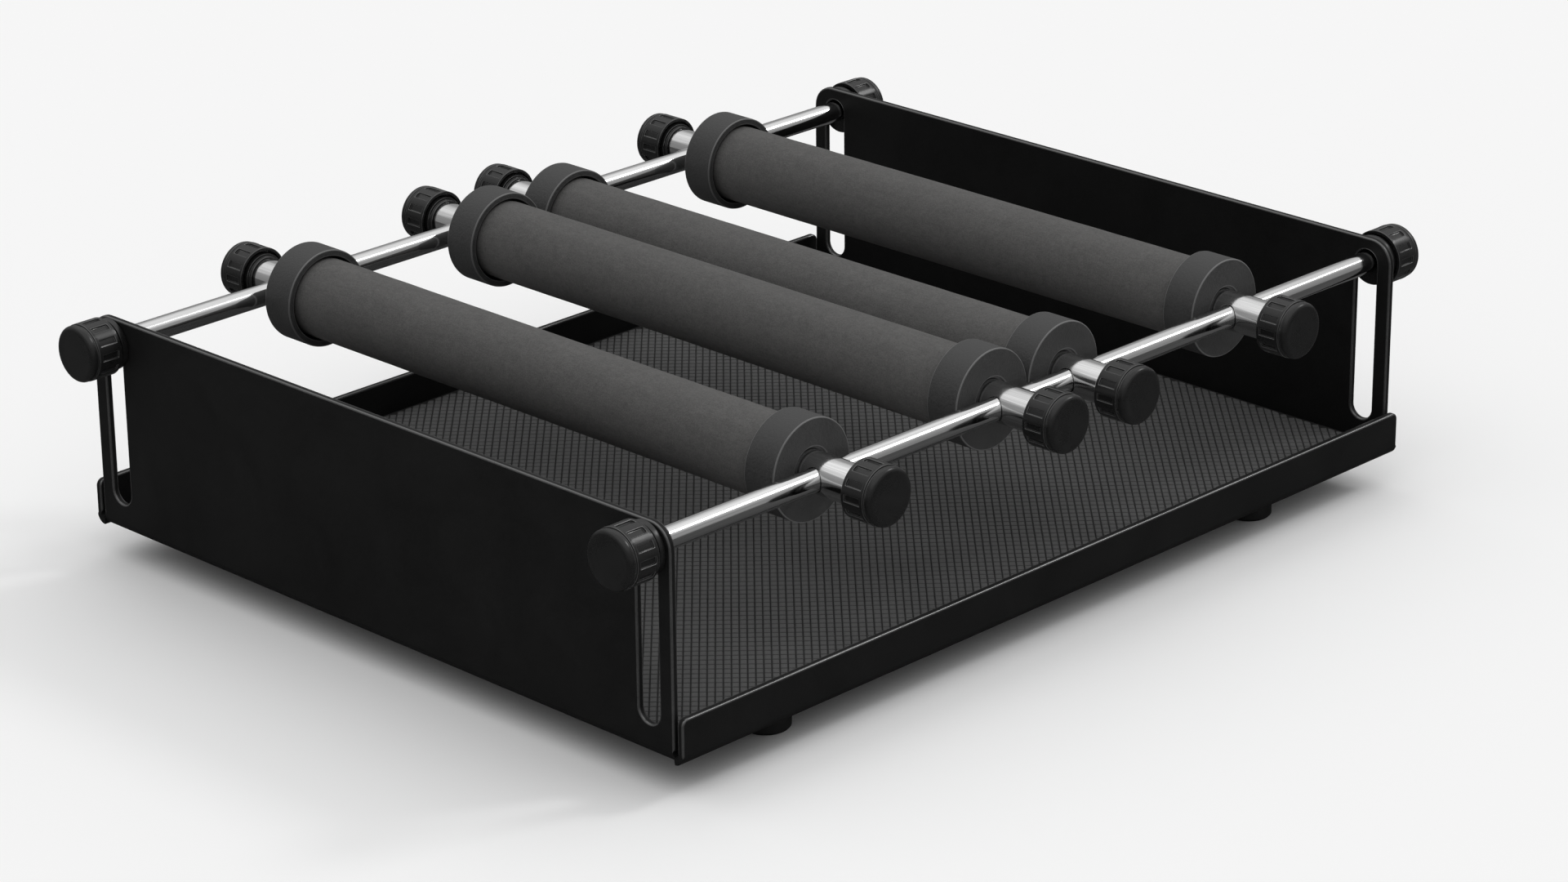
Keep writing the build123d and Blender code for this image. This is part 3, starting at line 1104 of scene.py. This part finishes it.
def light_scene():
    """Soft light from all round, a wide softbox overhead, and a lamp from the right."""
    world = bpy.data.worlds.new("studio_light")
    bpy.context.scene.world = world
    world.use_nodes = True
    tree = world.node_tree
    split = tree.nodes.new("ShaderNodeSeparateXYZ")
    connect(tree, tree.nodes.new("ShaderNodeTexCoord").outputs["Generated"], split.inputs["Vector"])
    glow = spread(tree, split.outputs["Z"], (0.0, 1.0), (glow_at_horizon, glow_overhead))
    softbox = spread(tree, split.outputs["Z"], softbox_edge, (0.0, softbox_glow))
    glow = calculate(tree, "ADD", glow, softbox)
    seen = tree.nodes.new("ShaderNodeLightPath").outputs["Is Camera Ray"]
    choice = tree.nodes.new("ShaderNodeMix")
    connect(tree, seen, choice.inputs["Factor"])
    connect(tree, glow, choice.inputs["A"])
    connect(tree, background, choice.inputs["B"])
    sky = tree.nodes["Background"]
    sky.inputs["Color"].default_value = grey(1)
    connect(tree, choice.outputs["Result"], sky.inputs["Strength"])
    lamp = bpy.data.lights.new("wide_lamp", "SUN")
    lamp.energy = lamp_strength
    lamp.angle = lamp_width
    lamp_object = bpy.data.objects.new("wide_lamp", lamp)
    lamp_object.rotation_mode = "QUATERNION"
    lamp_object.rotation_quaternion = Vector(lamp_side).to_track_quat("Z", "Y")
    bpy.context.collection.objects.link(lamp_object)


def place_camera():
    """Camera at the photograph's viewing angle."""
    camera = bpy.data.objects.new("camera", bpy.data.cameras.new("camera"))
    camera.data.lens = camera_lens
    camera.location = camera_place
    level = math.cos(camera_elevation)
    back_x = math.sin(camera_azimuth) * level
    back_y = -math.cos(camera_azimuth) * level
    back = Vector((back_x, back_y, math.sin(camera_elevation)))
    camera.rotation_mode = "QUATERNION"
    camera.rotation_quaternion = back.to_track_quat("Z", "Y") @ Quaternion((0, 0, 1), camera_roll)
    bpy.context.collection.objects.link(camera)
    bpy.context.scene.camera = camera


grain_group = make_grain_group()
lines_group = make_lines_group()
specks_group = make_specks_group()

coat_faces = make_powder_coat("black_powder_coat", darkness=0.007, specular=0.12, roughness=(0.42, 0.55))
# The tray's rounded edges get a paler coat than its faces: a painted highlight.
coat_edges_painted_highlight = make_powder_coat("powder_coat_edges_painted_highlight", darkness=0.03, specular=1.0, roughness=(0.2, 0.27))
mat_rubber = make_mat_rubber()
foam_rubber = make_foam_rubber()
cap_rubber = make_cap_rubber("cap_rubber", light=0.06, specular=0.45, grain_scale=1300, depth=0.14 * mm)
# The caps' rounded rims get a paler rubber than their faces: a painted highlight.
cap_rim_painted_highlight = make_cap_rubber("cap_rubber_rim_painted_highlight", light=0.15, specular=1.0, grain_scale=2600, depth=0.01 * mm)
rod_chrome = make_chrome("chrome_of_rods", squeeze=(0.01, 1, 1))
tube_chrome = make_chrome("chrome_of_tubes", squeeze=(1, 0.01, 1))
knob_faces = make_knob_plastic("black_knob_plastic", darkness=0.008, specular=0.35, roughness=(0.24, 0.34))
# The knobs' rounded edges get a paler plastic than their faces: a painted highlight.
knob_edges_painted_highlight = make_knob_plastic("knob_plastic_edges_painted_highlight", darkness=0.03, specular=1.0, roughness=(0.16, 0.24))
foot_rubber = make_foot_rubber()
zinc_steel = make_zinc_steel()
pad_nylon = make_pad_nylon()

dress_tray()
dress_rods()
dress_rollers()
make_floor()
light_scene()
place_camera()

bpy.context.scene.view_settings.view_transform = "Standard"
